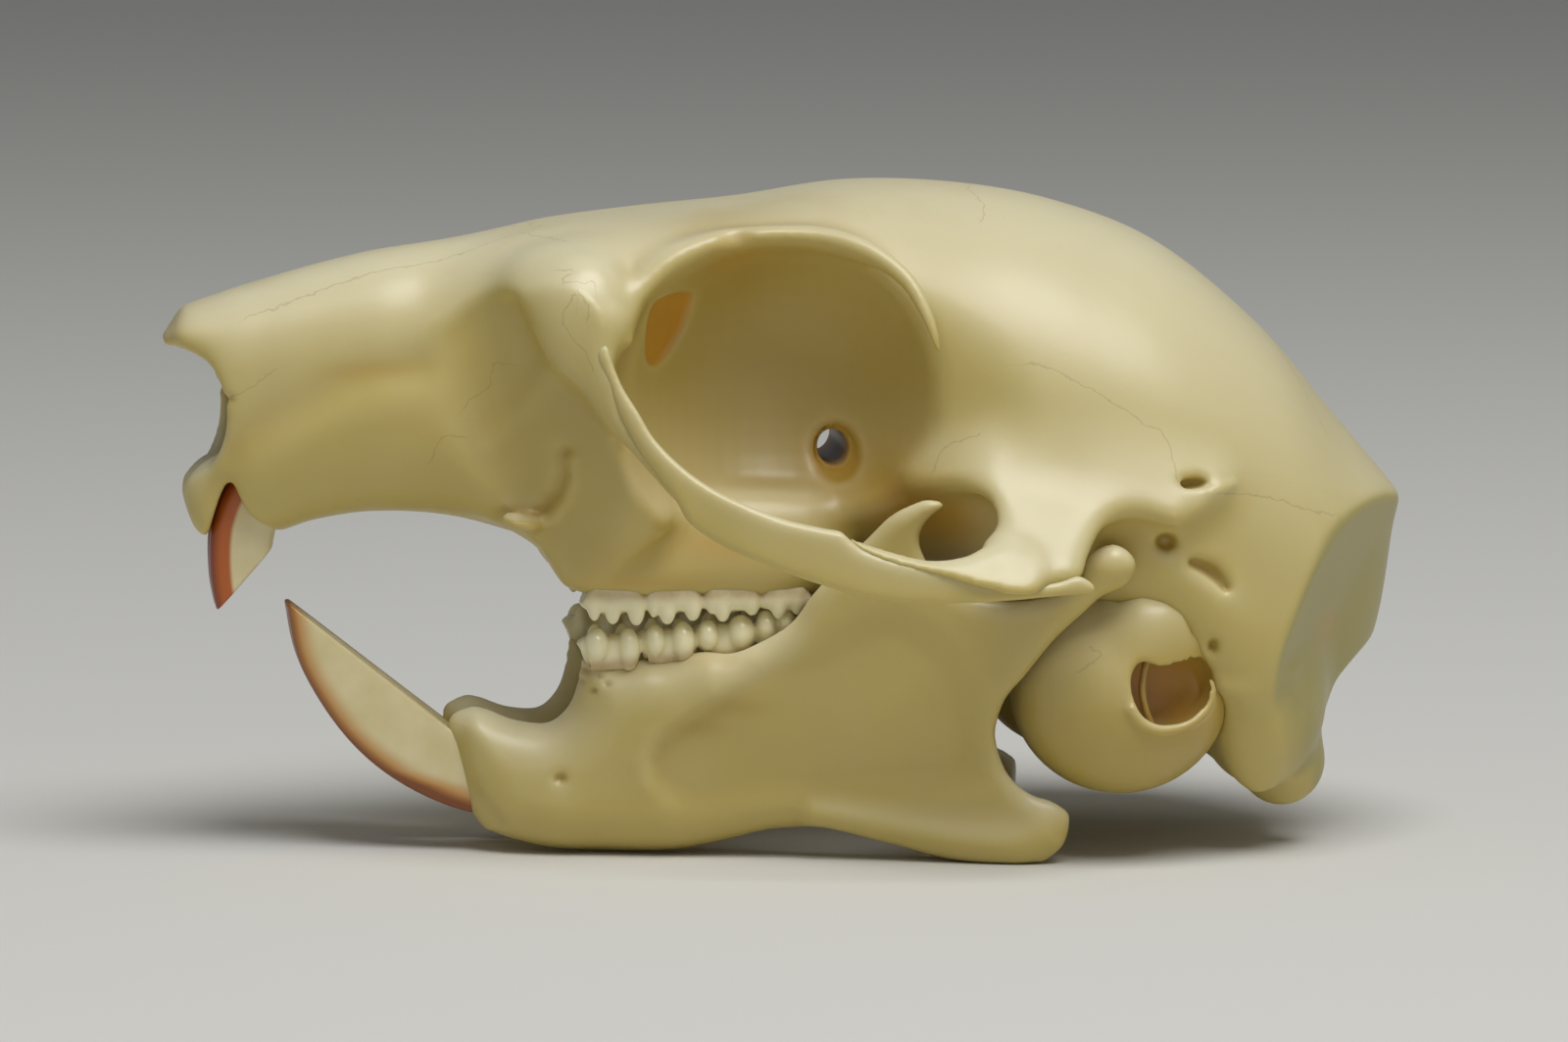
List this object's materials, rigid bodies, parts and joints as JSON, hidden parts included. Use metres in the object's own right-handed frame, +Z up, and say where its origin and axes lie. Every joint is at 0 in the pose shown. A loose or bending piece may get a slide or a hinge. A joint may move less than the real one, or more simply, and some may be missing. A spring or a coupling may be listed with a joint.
{
  "type": "squirrel skull",
  "caption": "Cleaned squirrel skull with its lower jaw in place, standing on the jaw, with wide cheek arches, domed braincase and curved gnawing teeth.",
  "frame": {"origin": "on the ground the jaw stands on, under the middle of the skull's length and width", "axes": "+X runs from the nose to the back of the head, +Z is up, and the animal's left side is towards -Y"},
  "size_m": [0.0622, 0.035, 0.0334],
  "materials": {
    "bone": "smooth cleaned bone, soft satin",
    "thin_bone": "thin slightly translucent bone, soft satin",
    "gnawing_enamel": "polished orange enamel"
  },
  "bodies": {
    "root": {"rostrum": "bone", "face": "bone", "braincase": "bone", "zygomatic_arch_left": "bone", "zygomatic_arch_right": "bone", "dentary_left": "bone", "dentary_right": "bone", "occiput": "thin_bone", "auditory_bulla_left": "thin_bone", "auditory_bulla_right": "thin_bone", "upper_incisor_left": "gnawing_enamel", "upper_incisor_right": "gnawing_enamel", "lower_incisor_left": "gnawing_enamel", "lower_incisor_right": "gnawing_enamel"}
  },
  "joints": []
}
